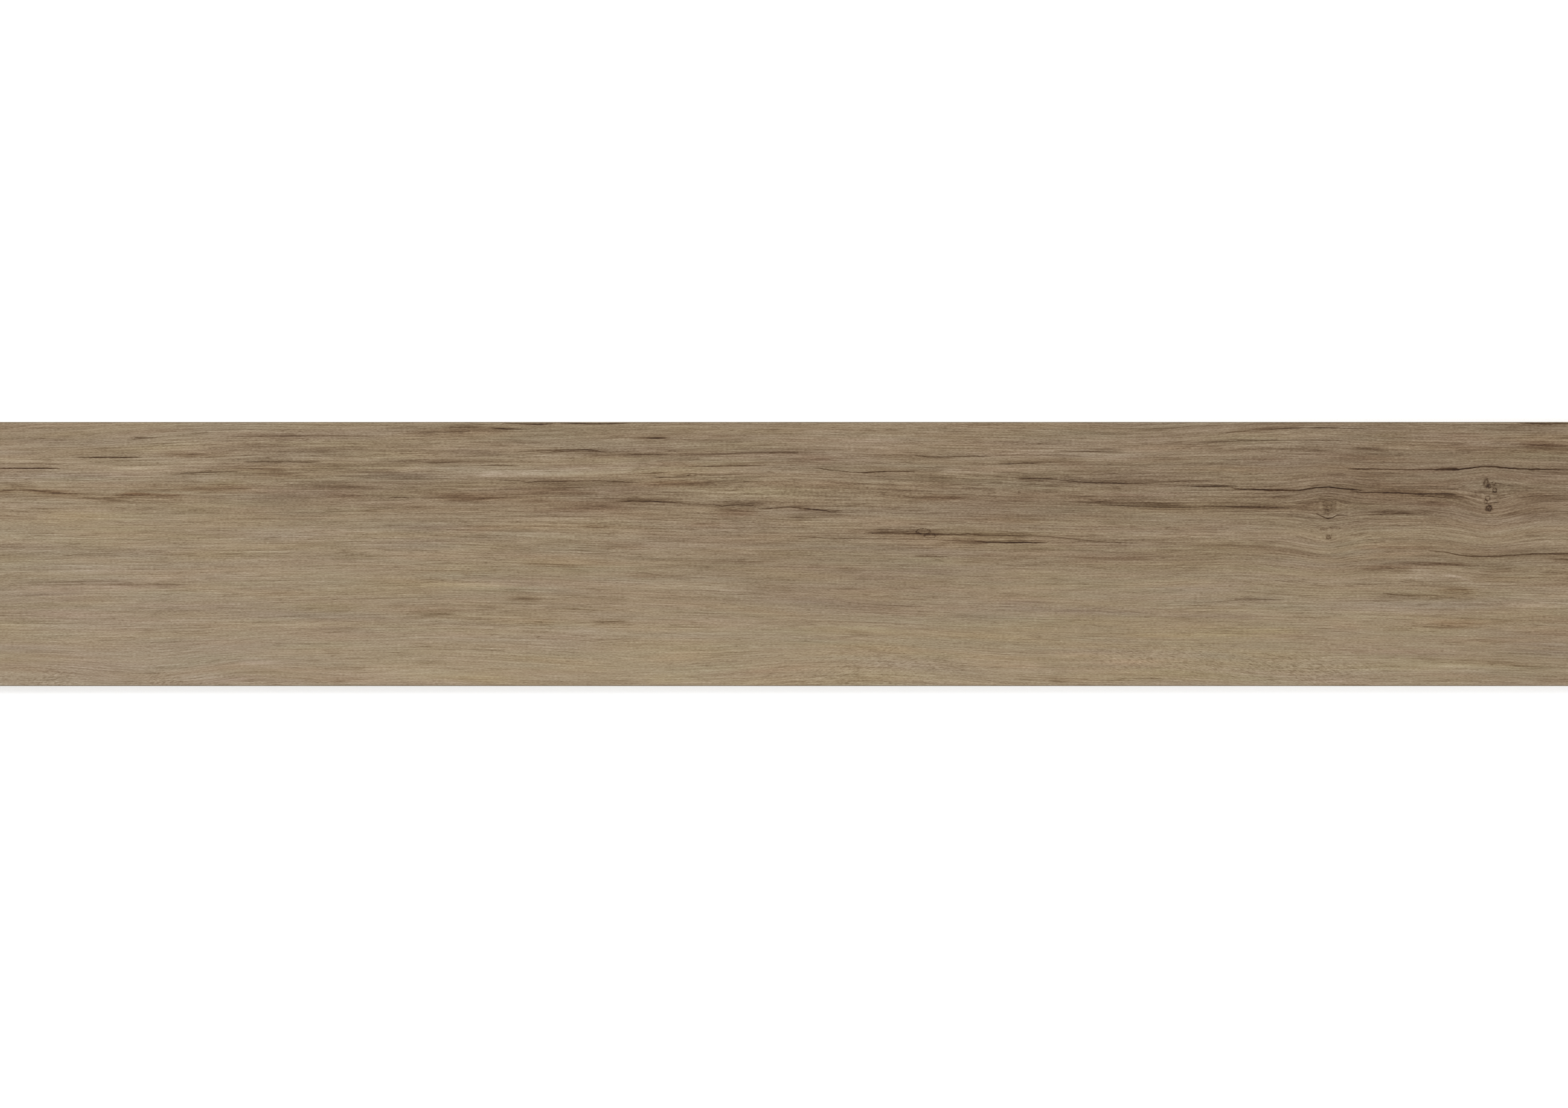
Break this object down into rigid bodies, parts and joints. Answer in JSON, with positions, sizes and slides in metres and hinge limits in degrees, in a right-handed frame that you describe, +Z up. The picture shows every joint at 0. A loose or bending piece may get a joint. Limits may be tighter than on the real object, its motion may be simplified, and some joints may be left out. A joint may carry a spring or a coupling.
{
  "type": "wood look porcelain plank tile",
  "caption": "Flat rectangular porcelain plank with a wood grain face, ground bevelled edges and a ribbed keying back.",
  "frame": {"origin": "under the middle of the plank, on the plane that the ribs of its back rest on", "axes": "+X along the plank, +Y across it, +Z up out of the printed face"},
  "size_m": [1.2, 0.2, 0.009],
  "materials": {
    "porcelain": "matte"
  },
  "bodies": {
    "root": {"plank_tile": "porcelain"}
  },
  "joints": []
}
